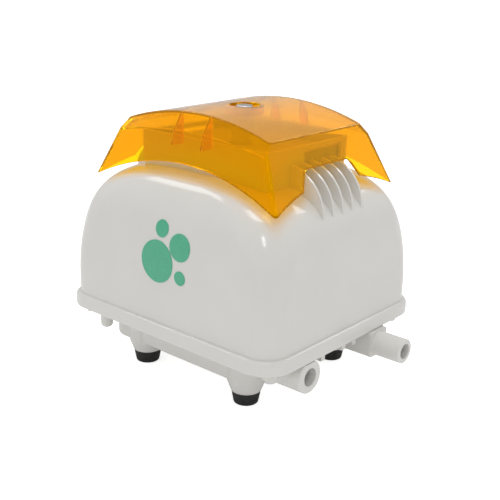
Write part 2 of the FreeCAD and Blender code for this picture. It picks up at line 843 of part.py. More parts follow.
def base_tray():
    flange = rounded_slab(tray_half_length, tray_half_width, flange_corner - case_wall - tray_fit_clearance,
                          flange_bottom, tray_top)
    pan = rounded_slab((pan_right - pan_left) / 2, pan_half_width, pan_corner, pan_bottom, tray_top,
                       (pan_left + pan_right) / 2)
    low = [edge for edge in pan.Edges if edge.BoundBox.ZMax < pan_bottom + 0.01]
    pan = pan.makeFillet(pan_edge_round, low)
    bosses = [foot_boss(x, y) for x, y in foot_places]
    lugs = case_bosses(case_boss_radius, flange_bottom - case_lug_height, tray_top)
    clip_base = flange_bottom - clip_post_height
    clip_posts = []
    for side in signs:
        place = V(pan_left + clip_post_inset_x, side * (half_width - clip_post_inset_y), clip_base)
        post = cylinder(clip_post_radius, clip_post_height, place)
        tip = [edge for edge in post.Edges if edge.BoundBox.ZMax < clip_base + 0.01]
        clip_posts.append(post.makeFillet(clip_post_round, tip))
    solid = join([flange, pan] + tray_ports() + bosses + lugs + clip_posts + tray_ribs())
    side_end = tank_rear - side_pocket_inset
    cavities = [
        block(tank_left, tank_right, tank_front, tank_rear, pan_floor, tray_top + 1),
        block(cable_bay_left, tank_right, -tank_rear, cable_bay_rear, pan_floor, tray_top + 1),
        block(pan_left + pan_wall, tank_left - pan_wall, -side_end, side_end, pan_floor, tray_top + 1),
    ]
    solid = cut_all(solid, cavities)
    pillars = [cylinder(pillar_radius, pillar_height + 0.5, V(x, y, pan_floor - 0.5))
               for x, y in foot_places]
    pillars += [cylinder(lid_pillar_radius, tray_top - pan_floor, V(x, y, pan_floor)).common(pan)
                for x, y in lid_screw_places()]
    solid = join([solid] + pillars)
    holes = [cylinder(foot_screw_radius, foot_screw_length, V(x, y, foot_height)) for x, y in foot_places]
    lid_hole = lid_screw_depth + 2.0
    holes += [cylinder(lid_screw_radius, lid_hole, V(x, y, tray_top - lid_hole + 0.5))
              for x, y in lid_screw_places()]
    holes += case_bosses(case_screw_radius + 0.3, flange_bottom - 10, flange_bottom + 10)
    start = tank_right - 1
    holes.append(cylinder(inlet_bore, half_length - start + 1, V(start, inlet_y, port_height), X_AXIS))
    holes.append(cylinder(outlet_bore, duct_end - start + 1, V(start, outlet_y, port_height), X_AXIS))
    holes.append(cylinder(socket_radius, socket_depth,
                          V(duct_end - socket_depth, outlet_y, port_height), X_AXIS))
    return cut_all(solid, holes)


def foot(x, y):
    body = Part.makeCone(foot_bottom_radius, foot_top_radius, foot_height, V(x, y, 0))
    low = [edge for edge in body.Edges if edge.BoundBox.ZMax < 0.01]
    body = body.makeFillet(foot_edge_round, low)
    recess = cylinder(foot_recess_radius, foot_recess_depth, V(x, y, 0))
    hole = cylinder(foot_screw_radius, foot_height, V(x, y, 0))
    return cut_all(body, [recess, hole])


def foot_screw(x, y):
    seat = foot_recess_depth - foot_washer_thickness
    head = cylinder(foot_screw_head_radius, foot_screw_head_height, V(x, y, seat - foot_screw_head_height))
    top = foot_height + foot_screw_length - 2.0
    return join([head, cylinder(foot_screw_radius, top - seat, V(x, y, seat))])


def foot_washer(x, y):
    base = V(x, y, foot_recess_depth - foot_washer_thickness)
    return tube(foot_recess_radius - foot_washer_clearance, foot_screw_radius, foot_washer_thickness, base)


def gasket_slab(inset):
    edge = case_wall + inset
    return rounded_slab(half_length - edge, half_width - edge, flange_corner - edge, tray_top, ledge_height)


def housing_gasket():
    ring = gasket_slab(gasket_clearance).cut(gasket_slab(gasket_width))
    return cut_all(ring, case_bosses(case_boss_radius + gasket_clearance, tray_top - 1, ledge_height + 1))


def housing_screw(x, y):
    seat = flange_bottom - case_lug_height
    head = cylinder(case_screw_radius + case_screw_head_rim, case_screw_head_height,
                    V(x, y, seat - case_screw_head_height))
    return join([head, cylinder(case_screw_radius, case_screw_length, V(x, y, seat))])


# ---------------------------------------------------------------- air outlet
def outlet_nozzle():
    centre = V(0, outlet_y, port_height)
    flange = block(duct_end, duct_end + outlet_flange_thickness,
                   outlet_y - outlet_flange_half, outlet_y + outlet_flange_half,
                   port_height - outlet_radius, port_height + outlet_flange_half)
    corners = [edge for edge in flange.Edges if edge.BoundBox.XLength > outlet_flange_thickness - 0.1]
    flange = flange.makeFillet(outlet_flange_round, corners)
    start = duct_end + outlet_flange_thickness
    spout = cylinder(outlet_radius, outlet_end - start, centre + V(start, 0, 0), X_AXIS)
    mouth = [edge for edge in spout.Edges if edge.BoundBox.XMin > outlet_end - 0.01]
    spout = spout.makeFillet(outlet_mouth_round, mouth)
    spigot_start = duct_end - socket_depth + 0.5
    spigot = cylinder(socket_radius - socket_clearance, duct_end - spigot_start,
                      centre + V(spigot_start, 0, 0), X_AXIS)
    solid = join([flange, spout, spigot])
    groove = tube(socket_radius + 1, socket_radius - o_ring_depth, o_ring_width,
                  centre + V(duct_end - socket_depth / 2 - o_ring_width / 2, 0, 0), X_AXIS)
    bore = cylinder(outlet_bore, outlet_end, centre + V(spigot_start - 1, 0, 0), X_AXIS)
    return cut_all(solid, [groove, bore])


def outlet_o_ring():
    base = V(duct_end - socket_depth / 2 - o_ring_width / 2, outlet_y, port_height)
    return tube(socket_radius, socket_radius - o_ring_depth, o_ring_width, base, X_AXIS)


# ---------------------------------------------------------------- air tank lid
def lid_box():
    return (tank_left - lid_margin, tank_right + lid_margin,
            tank_front - lid_front_margin, tank_rear + lid_margin)


def lid_screw_places():
    x0, x1, y0, y1 = lid_box()
    edge = lid_screw_inset
    return [(x, y) for x in (x0 + edge, x1 - edge) for y in (y0 + 2 * edge, y1 - edge)]


def lid_slab(z0, z1):
    x0, x1, y0, y1 = lid_box()
    return rounded_slab((x1 - x0) / 2, (y1 - y0) / 2, lid_corner, z0, z1, (x0 + x1) / 2, (y0 + y1) / 2)


def tank_lid():
    slab = lid_slab(lid_bottom, lid_top)
    nipples = [cylinder(nipple_radius, nipple_length + 1, V(side * nipple_x, 0, lid_top - 1))
               for side in signs]
    solid = join([slab] + nipples)
    holes = [cylinder(nipple_bore, 20.0, V(side * nipple_x, 0, lid_bottom - 1)) for side in signs]
    holes += [cylinder(lid_screw_radius + 0.2, 10.0, V(x, y, lid_bottom - 1))
              for x, y in lid_screw_places()]
    return cut_all(solid, holes)


def tank_gasket():
    slab = lid_slab(tray_top, lid_bottom)
    holes = [block(tank_left + 0.5, tank_right - 0.5, tank_front + 0.5, tank_rear - 0.5,
                   tray_top - 1, lid_bottom + 1)]
    holes += [cylinder(lid_screw_radius + 0.4, 10.0, V(x, y, tray_top - 1)) for x, y in lid_screw_places()]
    return cut_all(slab, holes)


def lid_screw(x, y):
    head = cylinder(lid_screw_head_radius, lid_screw_head_height, V(x, y, lid_top))
    start = tray_top - lid_screw_depth
    return join([head, cylinder(lid_screw_radius, lid_top - start, V(x, y, start))])


# ---------------------------------------------------------------- pump frame and mounts
def vibration_mount(x, y):
    third = mount_height / 3
    low = Part.makeCone(mount_radius, mount_waist_radius, third, V(x, y, tray_top))
    middle = cylinder(mount_waist_radius, third, V(x, y, tray_top + third))
    high = Part.makeCone(mount_waist_radius, mount_radius, third, V(x, y, tray_top + 2 * third))
    solid = join([low, middle, high])
    return solid.cut(cylinder(frame_screw_radius, frame_screw_length,
                              V(x, y, frame_top - frame_screw_length)))


def frame_screw(x, y):
    head = cylinder(frame_screw_head_radius, frame_screw_head_height, V(x, y, frame_top))
    shank = cylinder(frame_screw_radius, frame_screw_length, V(x, y, frame_top - frame_screw_length))
    return join([head, shank])


def core_screw_places():
    y = core_back - core_yoke / 2
    x = core_half_length - core_side_leg / 2
    return [(sx * x, sy * y) for sx in signs for sy in signs]


def pump_frame():
    plate = rounded_slab(frame_half_length, frame_half_width, frame_plate_corner, frame_bottom, frame_top)
    parts = [plate]
    core_bottom = drive_height - core_stack / 2
    pad = core_yoke / 2
    for x, y in core_screw_places():
        parts.append(block(x - pad, x + pad, y - pad, y + pad, frame_top - 1, core_bottom))
    end_top = drive_height + end_plate_half_width
    for side in signs:
        x0 = min(side * end_plate_inner, side * diaphragm_inner)
        x1 = max(side * end_plate_inner, side * diaphragm_inner)
        parts.append(block(x0, x1, -end_plate_half_width, end_plate_half_width, frame_top - 1, end_top))
    solid = join(parts)
    length = 2 * diaphragm_inner + 2
    holes = [cylinder(chamber_radius, length, V(-length / 2, 0, drive_height), X_AXIS)]
    for x, y in mount_places:
        holes.append(cylinder(frame_screw_radius + 0.3, 10.0, V(x, y, frame_bottom - 3)))
    for x, y in core_screw_places():
        holes.append(cylinder(frame_screw_radius, core_stack, V(x, y, core_bottom - 10.0)))
    for y, z in head_screw_places():
        holes.append(cylinder(head_screw_radius, length, V(-length / 2, y, z), X_AXIS))
    slot_start = nipple_x - nipple_radius - hose_wall - 2.0
    slot_half = nipple_radius + hose_wall + 1.5
    for side in signs:
        x0 = min(side * slot_start, side * (frame_half_length + 1))
        x1 = max(side * slot_start, side * (frame_half_length + 1))
        holes.append(block(x0, x1, -slot_half, slot_half, frame_bottom - 1, frame_top + 1))
    return cut_all(solid, holes)


# ---------------------------------------------------------------- electromagnets
def core(side):
    """One E shaped stack of laminations. side is -1 at the front, +1 at the rear."""
    z0 = drive_height - core_stack / 2
    z1 = drive_height + core_stack / 2
    back = side * core_back
    face = side * core_face
    yoke_face = side * (core_back - core_yoke)
    parts = [block(-core_half_length, core_half_length, min(back, yoke_face), max(back, yoke_face), z0, z1)]
    legs = [(-core_centre_leg / 2, core_centre_leg / 2),
            (-core_half_length, -core_half_length + core_side_leg),
            (core_half_length - core_side_leg, core_half_length)]
    for x0, x1 in legs:
        parts.append(block(x0, x1, min(face, yoke_face), max(face, yoke_face), z0, z1))
    solid = join(parts)
    holes = [cylinder(frame_screw_radius + 0.1, core_stack + 2, V(x, y, z0 - 1))
             for x, y in core_screw_places() if y * side > 0]
    return cut_all(solid, holes)


def window_ring(half_x, half_z, hole_x, hole_z, y0, y1):
    low = min(y0, y1)
    high = max(y0, y1)
    ring = block(-half_x, half_x, low, high, drive_height - half_z, drive_height + half_z)
    return ring.cut(block(-hole_x, hole_x, low, high, drive_height - hole_z, drive_height + hole_z))


def bobbin(side):
    hole_x = core_centre_leg / 2
    hole_z = core_stack / 2
    parts = [
        window_ring(coil_inner_x, coil_inner_z, hole_x, hole_z, side * bobbin_start, side * bobbin_end),
        window_ring(coil_outer_x, coil_outer_z, hole_x, hole_z, side * bobbin_start,
                    side * (bobbin_start + bobbin_flange)),
        window_ring(coil_outer_x, coil_outer_z, hole_x, hole_z, side * (bobbin_end - bobbin_flange),
                    side * bobbin_end),
    ]
    return join(parts)


def coil(side):
    ring = window_ring(coil_outer_x - coil_inset, coil_outer_z - coil_inset, coil_inner_x, coil_inner_z,
                       side * (bobbin_start + bobbin_flange), side * (bobbin_end - bobbin_flange))
    corners = [edge for edge in ring.Edges
               if edge.BoundBox.YLength > 5 and abs(edge.BoundBox.XMax) > coil_inner_x + 1]
    return ring.makeFillet(coil_corner, corners)


def core_screw(x, y):
    z1 = drive_height + core_stack / 2
    head = cylinder(frame_screw_head_radius, frame_screw_head_height, V(x, y, z1))
    length = core_stack + core_screw_reach
    shank = cylinder(frame_screw_radius, length, V(x, y, z1 - length))
    return join([head, shank])


# ---------------------------------------------------------------- shuttle
def on_axis(x):
    return V(x, 0, drive_height)


def magnet_rod():
    rod = cylinder(rod_radius, 2 * rod_half_length, on_axis(-rod_half_length), X_AXIS)
    collar = cylinder(rod_collar_radius, 2 * rod_collar_half, on_axis(-rod_collar_half), X_AXIS)
    return join([rod, collar])


def magnet():
    x0 = rod_collar_half
    body = block(x0, x0 + magnet_length, -magnet_width / 2, magnet_width / 2,
                 drive_height - magnet_height / 2, drive_height + magnet_height / 2)
    return body.cut(cylinder(rod_radius, 50.0, on_axis(0), X_AXIS))


def rod_sleeve():
    x0 = rod_collar_half + magnet_length
    x1 = diaphragm_inner - disc_thickness
    return tube(rod_radius + sleeve_wall, rod_radius, x1 - x0, on_axis(x0), X_AXIS)


def disc(x0):
    return tube(disc_radius, rod_radius, disc_thickness, on_axis(x0), X_AXIS)


def rod_nut():
    x0 = head_inner + disc_thickness
    radius = nut_across_flats / math.sqrt(3)
    points = []
    for index in range(6):
        angle = math.radians(60 * index)
        points.append(V(x0, radius * math.cos(angle), drive_height + radius * math.sin(angle)))
    nut = polygon_prism(points, V(nut_thickness, 0, 0))
    return nut.cut(cylinder(rod_radius, 20.0, on_axis(x0 - 1), X_AXIS))


# ---------------------------------------------------------------- pump head, right side
def diaphragm():
    """A rubber disc with one round ridge between its clamped edge and its centre."""
    x0 = diaphragm_inner
    x1 = head_inner
    ridge_radius = (disc_radius + chamber_radius) / 2
    ridge_half = (chamber_radius - disc_radius) / 2 - 1.0
    profile = [
        (x0, rod_radius), (x0, ridge_radius - ridge_half), (x0 + diaphragm_ridge, ridge_radius),
        (x0, ridge_radius + ridge_half), (x0, diaphragm_radius), (x1, diaphragm_radius),
        (x1, ridge_radius + ridge_half + 0.8), (x1 + diaphragm_ridge, ridge_radius),
        (x1, ridge_radius - ridge_half - 0.8), (x1, rod_radius),
    ]
    points = [V(x, 0, drive_height + r) for x, r in profile]
    face = Part.Face(Part.makePolygon(points + [points[0]]))
    return face.revolve(on_axis(0), X_AXIS, 360)


def head_screw_places():
    offset = head_half - head_screw_inset
    return [(sy * offset, drive_height + sz * offset) for sy in signs for sz in signs]


def screw_holes(x0, x1, radius):
    return [cylinder(radius, x1 - x0, V(x0, y, z), X_AXIS) for y, z in head_screw_places()]


def port(x0, length, radius, side):
    """A round hole along X, above the drive axis for the intake and below it for the outlet."""
    return cylinder(radius, length, V(x0, 0, drive_height + side * valve_offset), X_AXIS)


def head():
    body = end_slab(head_half, head_corner, head_inner, head_outer)
    tools = [cylinder(chamber_radius, head_depth - head_end_wall, on_axis(head_inner), X_AXIS)]
    tools.append(port(head_inner, head_depth, flap_pocket_radius, 1))
    tools.append(port(head_inner, head_depth, valve_port_radius, -1))
    tools += screw_holes(head_inner, head_outer, head_screw_radius + head_screw_clearance)
    return cut_all(body, tools)


def valve_plate():
    body = end_slab(head_half, head_corner, head_outer, valve_outer)
    tools = [port(head_outer, valve_plate_thickness, valve_port_radius, side) for side in signs]
    tools += screw_holes(head_outer, valve_outer, head_screw_radius + head_screw_clearance)
    return cut_all(body, tools)


def intake_flap():
    return port(head_outer - flap_thickness, flap_thickness, flap_radius, 1)


def outlet_flap():
    return port(valve_outer, flap_thickness, flap_radius, -1)


def head_cover():
    body = end_slab(head_half, head_corner, valve_outer, cover_outer)
    half = head_half - chamber_wall
    depth_end = cover_outer - head_cover_wall
    parts = [body, cylinder(nipple_radius, nipple_length + 1,
                            V(nipple_x, 0, drive_height - head_half - nipple_length))]
    solid = join(parts)
    tools = [
        block(valve_outer, depth_end, -half, half, drive_height + plenum_rib_half, drive_height + half),
        block(valve_outer, depth_end, -half, half, drive_height - half, drive_height - plenum_rib_half),
        cylinder(nipple_bore, head_half, V(nipple_x, 0, drive_height - head_half - nipple_length - 1)),
        cylinder(nipple_radius, chamber_wall + 2, V(nipple_x, 0, drive_height + half - 1)),
    ]
    tools += screw_holes(valve_outer, cover_outer, head_screw_radius + head_screw_clearance)
    return cut_all(solid, tools)


def head_screw(y, z):
    start = end_plate_inner
    shank = cylinder(head_screw_radius, cover_outer - start, V(start, y, z), X_AXIS)
    cap = cylinder(head_screw_head_radius, head_screw_head_height, V(cover_outer, y, z), X_AXIS)
    return join([shank, cap])


def transfer_hose():
    z0 = lid_top
    z1 = drive_height - head_half
    return tube(nipple_radius + hose_wall, nipple_radius, z1 - z0, V(nipple_x, 0, z0))


# ---------------------------------------------------------------- wiring
def terminal_box():
    x0 = (cable_bay_left + tank_right) / 2 - terminal_length / 2
    y_mid = (-tank_rear + cable_bay_rear) / 2
    return x0, x0 + terminal_length, y_mid - terminal_width / 2, y_mid + terminal_width / 2


def terminal_screw_places():
    x0, x1, y0, y1 = terminal_box()
    pitch = terminal_length / terminal_ways
    return [(x0 + pitch * (index + 0.5), y0 + terminal_width * share)
            for index in range(terminal_ways) for share in (0.3, 0.7)]


def terminal_block():
    x0, x1, y0, y1 = terminal_box()
    body = block(x0, x1, y0, y1, pan_floor, pan_floor + terminal_height)
    top = pan_floor + terminal_height
    tools = [cylinder(terminal_hole_radius, terminal_hole_depth, V(x, y, top - terminal_hole_depth))
             for x, y in terminal_screw_places()]
    pitch = terminal_length / terminal_ways
    for index in range(1, terminal_ways):
        x = x0 + pitch * index
        tools.append(block(x - 0.6, x + 0.6, y0, y1, top - 2.0, top + 1))
    return cut_all(body, tools)


def terminal_screw(x, y):
    base = pan_floor + terminal_height - terminal_hole_depth
    return cylinder(terminal_screw_radius, 2.5, V(x, y, base))


# ---------------------------------------------------------------- export
def main():
    os.makedirs("parts", exist_ok=True)
    outer = dome_solid(0.0, flange_bottom)
    inner = dome_solid(case_wall, flange_bottom - 5.0)
    save("upper_housing", upper_housing(outer, inner))
    save("filter_box", filter_box(outer))
    save("cover_post", cover_post(outer))
    save("grille_seats", grille_seats(outer))
    save("cooling_fins", cooling_fins(outer))
    save("front_badge", front_badge(outer))
    save("filter_cover", filter_cover())
    save("cover_screw", cover_screw())
    save("cover_screw_washer", cover_screw_washer())
    save("screw_insert", screw_insert())
    save("filter_grille", filter_grille())
    save("filter_element", filter_element())
    save("base_tray", base_tray())
    foot_names = ("foot_front_left", "foot_rear_left", "foot_front_right", "foot_rear_right")
    for name, (x, y) in zip(foot_names, foot_places):
        save(name, foot(x, y))
    save("foot_screws", group([foot_screw(x, y) for x, y in foot_places]))
    save("foot_washers", group([foot_washer(x, y) for x, y in foot_places]))
    save("housing_gasket", housing_gasket())
    save("housing_screws", group([housing_screw(x, y) for x, y in case_screw_places]))
    save("outlet_nozzle", outlet_nozzle())
    save("outlet_o_ring", outlet_o_ring())
    save("tank_lid", tank_lid())
    save("tank_gasket", tank_gasket())
    save("tank_lid_screws", group([lid_screw(x, y) for x, y in lid_screw_places()]))
    save("vibration_mounts", group([vibration_mount(x, y) for x, y in mount_places]))
    save("frame_screws", group([frame_screw(x, y) for x, y in mount_places]))
    save("pump_frame", pump_frame())
    for name, side in (("front", -1), ("rear", 1)):
        save("core_" + name, core(side))
        save("bobbin_" + name, bobbin(side))
        save("coil_" + name, coil(side))
    save("core_screws", group([core_screw(x, y) for x, y in core_screw_places()]))
    save("magnet_rod", magnet_rod())
    pairs = {
        "rod_sleeves": rod_sleeve(),
        "rod_nuts": rod_nut(),
        "inner_discs": disc(diaphragm_inner - disc_thickness),
        "outer_discs": disc(head_inner),
    }
    for name, shape in pairs.items():
        save(name, group([shape, mirror_x(shape)]))
    right_pieces = {
        "magnet": magnet(),
        "diaphragm": diaphragm(),
        "head": head(),
        "valve_plate": valve_plate(),
        "intake_flap": intake_flap(),
        "outlet_flap": outlet_flap(),
        "head_cover": head_cover(),
        "transfer_hose": transfer_hose(),
    }
    for name, shape in right_pieces.items():
        save(name + "_right", shape)
        save(name + "_left", mirror_x(shape))
    screws = [head_screw(y, z) for y, z in head_screw_places()]
    save("head_screws", group(screws + [mirror_x(screw) for screw in screws]))
    save("terminal_block", terminal_block())
    save("terminal_screws", group([terminal_screw(x, y) for x, y in terminal_screw_places()]))


main()
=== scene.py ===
import json
import math

import bpy
from mathutils import Matrix, Vector


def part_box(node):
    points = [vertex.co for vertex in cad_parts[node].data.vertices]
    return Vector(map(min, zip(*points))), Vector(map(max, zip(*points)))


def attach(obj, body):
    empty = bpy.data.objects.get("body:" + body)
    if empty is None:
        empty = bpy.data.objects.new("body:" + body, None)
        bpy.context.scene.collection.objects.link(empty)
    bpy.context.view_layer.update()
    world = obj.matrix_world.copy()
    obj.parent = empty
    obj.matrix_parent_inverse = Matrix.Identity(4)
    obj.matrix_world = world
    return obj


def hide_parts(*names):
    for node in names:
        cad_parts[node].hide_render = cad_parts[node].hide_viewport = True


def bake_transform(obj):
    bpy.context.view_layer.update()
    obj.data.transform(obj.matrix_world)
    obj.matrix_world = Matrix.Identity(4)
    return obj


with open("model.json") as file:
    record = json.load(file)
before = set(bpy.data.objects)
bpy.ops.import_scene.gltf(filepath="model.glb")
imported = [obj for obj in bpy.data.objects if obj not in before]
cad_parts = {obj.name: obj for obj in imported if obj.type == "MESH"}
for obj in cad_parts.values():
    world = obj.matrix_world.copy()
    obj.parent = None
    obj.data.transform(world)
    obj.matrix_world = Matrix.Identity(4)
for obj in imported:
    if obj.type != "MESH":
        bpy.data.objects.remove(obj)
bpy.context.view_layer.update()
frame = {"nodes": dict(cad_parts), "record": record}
NODES = frame["nodes"]
SLOTS = [m["slot"] for m in frame["record"]["materials"]]

# ---------------------------------------------------------------- studio
CAMERA_PLACE = (0.40219, -0.47470, 0.29744)
CAMERA_RIGHT = (0.75516614, 0.65521144, 0.02054440)
CAMERA_UP = (-0.22115550, 0.22514055, 0.94889514)
CAMERA_BACK = (0.61710157, -0.72111698, 0.31492213)
CAMERA_LENS = 63.67
CAMERA_SENSOR = 36.0
CAMERA_CLIP = (0.01, 200.0)
FLOOR_SIZE = 30.0
TENT_LIGHT = 0.61
TENT_SEEN = 1.10
FLOOR_GLOW = 0.10
FLOOR_GLOW_SEEN = 0.75
WHITE = (1.0, 1.0, 1.0)
PUMP_MIDDLE = (0.0, 0.0, 0.1)
# name, place, aim, size of the sheet, watts
LIGHTS = (
    ("overhead", (0.05, -0.05, 1.15), PUMP_MIDDLE, (0.36, 0.36), 2.2),
    ("left_box", (-0.90, -0.10, 1.25), PUMP_MIDDLE, (0.45, 0.45), 2.2),
    ("rear_box", (0.15, 1.15, 1.20), PUMP_MIDDLE, (0.45, 0.45), 2.2),
    ("key_strip", (0.60, -0.76, 1.08), (0.0, 0.0, 0.15), (0.05, 0.34), 1.2),
)


def make_camera():
    data = bpy.data.cameras.new("camera")
    data.lens = CAMERA_LENS
    data.sensor_width = CAMERA_SENSOR
    data.clip_start, data.clip_end = CAMERA_CLIP
    camera = bpy.data.objects.new("camera", data)
    bpy.context.scene.collection.objects.link(camera)
    rows = zip(CAMERA_RIGHT, CAMERA_UP, CAMERA_BACK, CAMERA_PLACE)
    camera.matrix_world = Matrix([*rows, (0.0, 0.0, 0.0, 1.0)])
    bpy.context.scene.camera = camera


def area_light(name, place, target, size, power):
    data = bpy.data.lights.new(name, "AREA")
    data.shape = "RECTANGLE"
    data.size, data.size_y = size
    data.energy = power
    light = bpy.data.objects.new(name, data)
    bpy.context.scene.collection.objects.link(light)
    light.location = place
    aim = Vector(target) - Vector(place)
    light.rotation_euler = aim.to_track_quat("-Z", "Y").to_euler()


# ---------------------------------------------------------------- materials
NOISE_LOW = 0.3
NOISE_HIGH = 0.7
PLASTIC_SKIN = 900.0
PLASTIC_SKIN_DEPTH = 0.00002
RUBBER_GRAIN = 1400.0
RUBBER_GRAIN_DEPTH = 0.00005


class Graph:
    """A node material with one Principled shader, and short calls to add to it."""

    def __init__(self, name):
        self.material = bpy.data.materials.new(name)
        self.material.use_nodes = True
        self.tree = self.material.node_tree
        self.tree.nodes.clear()
        self.output = self.add("ShaderNodeOutputMaterial")
        self.shader = self.add("ShaderNodeBsdfPrincipled")
        self.join(self.shader.outputs["BSDF"], self.output.inputs["Surface"])
        self.place = self.add("ShaderNodeTexCoord").outputs["Object"]

    def add(self, kind, **values):
        node = self.tree.nodes.new(kind)
        for key, value in values.items():
            setattr(node, key, value)
        return node

    def join(self, source, target):
        self.tree.links.new(source, target)

    def set(self, **values):
        for key, value in values.items():
            socket = self.shader.inputs[key.replace("_", " ")]
            socket.default_value = (*value, 1.0) if isinstance(value, tuple) else value

    def noise(self, scale, detail=4.0, rough=0.55, stretch=None, distortion=0.0):
        node = self.add("ShaderNodeTexNoise")
        node.inputs["Scale"].default_value = scale
        node.inputs["Detail"].default_value = detail
        node.inputs["Roughness"].default_value = rough
        node.inputs["Distortion"].default_value = distortion
        place = self.place
        if stretch:
            mapping = self.add("ShaderNodeMapping")
            mapping.inputs["Scale"].default_value = stretch
            self.join(place, mapping.inputs["Vector"])
            place = mapping.outputs["Vector"]
        self.join(place, node.inputs["Vector"])
        return node.outputs["Fac"]

    def ramp(self, source, stops):
        node = self.add("ShaderNodeValToRGB")
        elements = node.color_ramp.elements
        while len(elements) < len(stops):
            elements.new(0.5)
        for element, (position, colour) in zip(elements, stops):
            element.position = position
            element.color = (*colour, 1.0)
        self.join(source, node.inputs["Fac"])
        return node.outputs["Color"]

    def span(self, source, low, high, out_low, out_high):
        node = self.add("ShaderNodeMapRange")
        node.inputs["From Min"].default_value = low
        node.inputs["From Max"].default_value = high
        node.inputs["To Min"].default_value = out_low
        node.inputs["To Max"].default_value = out_high
        self.join(source, node.inputs["Value"])
        return node.outputs["Result"]

    def bump(self, source, strength, distance):
        node = self.add("ShaderNodeBump")
        node.inputs["Strength"].default_value = strength
        node.inputs["Distance"].default_value = distance
        self.join(source, node.inputs["Height"])
        self.join(node.outputs["Normal"], self.shader.inputs["Normal"])

    def colour(self, source, low, dark, high, light):
        """Base colour that runs from dark to light as the source goes from low to high."""
        self.join(self.ramp(source, [(low, dark), (high, light)]), self.shader.inputs["Base Color"])

    def gloss(self, source, rough):
        """Roughness that runs over the two values of rough with the middle of the source's range."""
        self.join(self.span(source, NOISE_LOW, NOISE_HIGH, *rough), self.shader.inputs["Roughness"])


def plastic(name, light, dark, rough):
    """Moulded plastic: a faint cloud of tone, gloss that drifts with the melt's flow, and a fine skin."""
    g = Graph(name)
    g.colour(g.noise(26.0, 5.0, 0.6), 0.35, dark, 0.65, light)
    g.gloss(g.noise(9.0, 3.0, 0.5, stretch=(1.0, 1.0, 0.35), distortion=0.6), rough)
    g.bump(g.noise(PLASTIC_SKIN, 3.0, 0.5), 0.25, PLASTIC_SKIN_DEPTH)
    return g.material


def rubber(name, light, dark):
    """Matte rubber: a fine even grain and a cloudy bloom."""
    g = Graph(name)
    g.colour(g.noise(60.0, 5.0, 0.6), 0.35, dark, 0.7, light)
    g.gloss(g.noise(300.0, 4.0), (0.55, 0.75))
    g.bump(g.noise(RUBBER_GRAIN, 4.0, 0.6), 0.35, RUBBER_GRAIN_DEPTH)
    return g.material


def metal(name, light, dark, rough=(0.22, 0.4), stretch=(1.0, 1.0, 14.0), scale=180.0):
    """Bare metal: tone, gloss and relief all follow one noise, drawn out along the tool's marks."""
    g = Graph(name)
    lines = g.noise(scale, 5.0, 0.6, stretch=stretch)
    g.colour(lines, NOISE_LOW, dark, NOISE_HIGH, light)
    g.gloss(lines, rough)
    g.bump(lines, 0.2, 0.00003)
    g.set(Metallic=1.0)
    return g.material


def amber_plastic():
    """Clear amber sheet: tinted where light passes, with a faint haze and soft ripples of the mould."""
    g = Graph("amber_cover")
    g.set(Transmission_Weight=0.86, IOR=1.49, Specular_Tint=(1.0, 0.60, 0.0))
    g.colour(g.noise(14.0, 4.0, 0.55), 0.35, (0.985, 0.585, 0.001), 0.65, (0.995, 0.61, 0.001))
    g.gloss(g.noise(30.0, 3.0), (0.05, 0.10))
    g.bump(g.noise(45.0, 2.0, 0.4), 0.08, 0.0002)
    clear = g.add("ShaderNodeBsdfTransparent")
    clear.inputs["Color"].default_value = (1.0, 0.72, 0.12, 1.0)
    path = g.add("ShaderNodeLightPath")
    either = g.add("ShaderNodeMath", operation="MAXIMUM")
    g.join(path.outputs["Is Shadow Ray"], either.inputs[0])
    g.join(path.outputs["Is Diffuse Ray"], either.inputs[1])
    mix = g.add("ShaderNodeMixShader")
    g.join(either.outputs[0], mix.inputs["Fac"])
    g.join(g.shader.outputs["BSDF"], mix.inputs[1])
    g.join(clear.outputs["BSDF"], mix.inputs[2])
    g.join(mix.outputs["Shader"], g.output.inputs["Surface"])
    return g.material


def badge_print():
    """Green ink on film, laid a little unevenly."""
    g = Graph("badge_print")
    g.colour(g.noise(120.0, 4.0, 0.6), 0.25, (0.075, 0.43, 0.25), 0.75, (0.090, 0.48, 0.29))
    g.gloss(g.noise(500.0), (0.25, 0.4))
    g.bump(g.noise(1500.0), 0.2, 0.00002)
    return g.material


def felt():
    """Pressed fibres, pale where they stand up and darker in the gaps as painted shade, the colour following
    the same noise as the relief.
    """
    g = Graph("filter_felt")
    fibres_and_gap_shade = g.noise(700.0, 8.0, 0.75)
    # painted shade: the colour darkens at the relief's low points, the gaps between fibres
    g.colour(fibres_and_gap_shade, 0.35, (0.42, 0.41, 0.37), 0.65, (0.72, 0.71, 0.66))
    g.bump(fibres_and_gap_shade, 0.9, 0.0008)
    g.set(Roughness=0.95)
    return g.material


def coil():
    """Turns of enamelled copper wire, one band each, darker in the grooves between turns as painted shade
    from the same wave as the relief.
    """
    g = Graph("coil_wire")
    turns_and_groove_shade = g.add("ShaderNodeTexWave", bands_direction="Z", wave_profile="SIN")
    turns_and_groove_shade.inputs["Scale"].default_value = 320.0
    g.join(g.place, turns_and_groove_shade.inputs["Vector"])
    # painted shade: the colour goes dark in the grooves between turns, following the relief's wave
    g.colour(turns_and_groove_shade.outputs["Fac"], 0.1, (0.16, 0.045, 0.02), 0.7, (0.62, 0.22, 0.09))
    g.bump(turns_and_groove_shade.outputs["Fac"], 0.8, 0.0003)
    g.set(Metallic=0.6, Roughness=0.3)
    return g.material


def seen_level(tree, hidden, seen):
    """One strength as light on the pump, another as the lens sees it, straight or through amber."""
    path = tree.nodes.new("ShaderNodeLightPath")
    either = tree.nodes.new("ShaderNodeMath")
    either.operation = "MAXIMUM"
    tree.links.new(path.outputs["Is Camera Ray"], either.inputs[0])
    tree.links.new(path.outputs["Is Transmission Ray"], either.inputs[1])
    level = tree.nodes.new("ShaderNodeMapRange")
    level.inputs["To Min"].default_value = hidden
    level.inputs["To Max"].default_value = seen
    tree.links.new(either.outputs[0], level.inputs["Value"])
    return level.outputs["Result"]


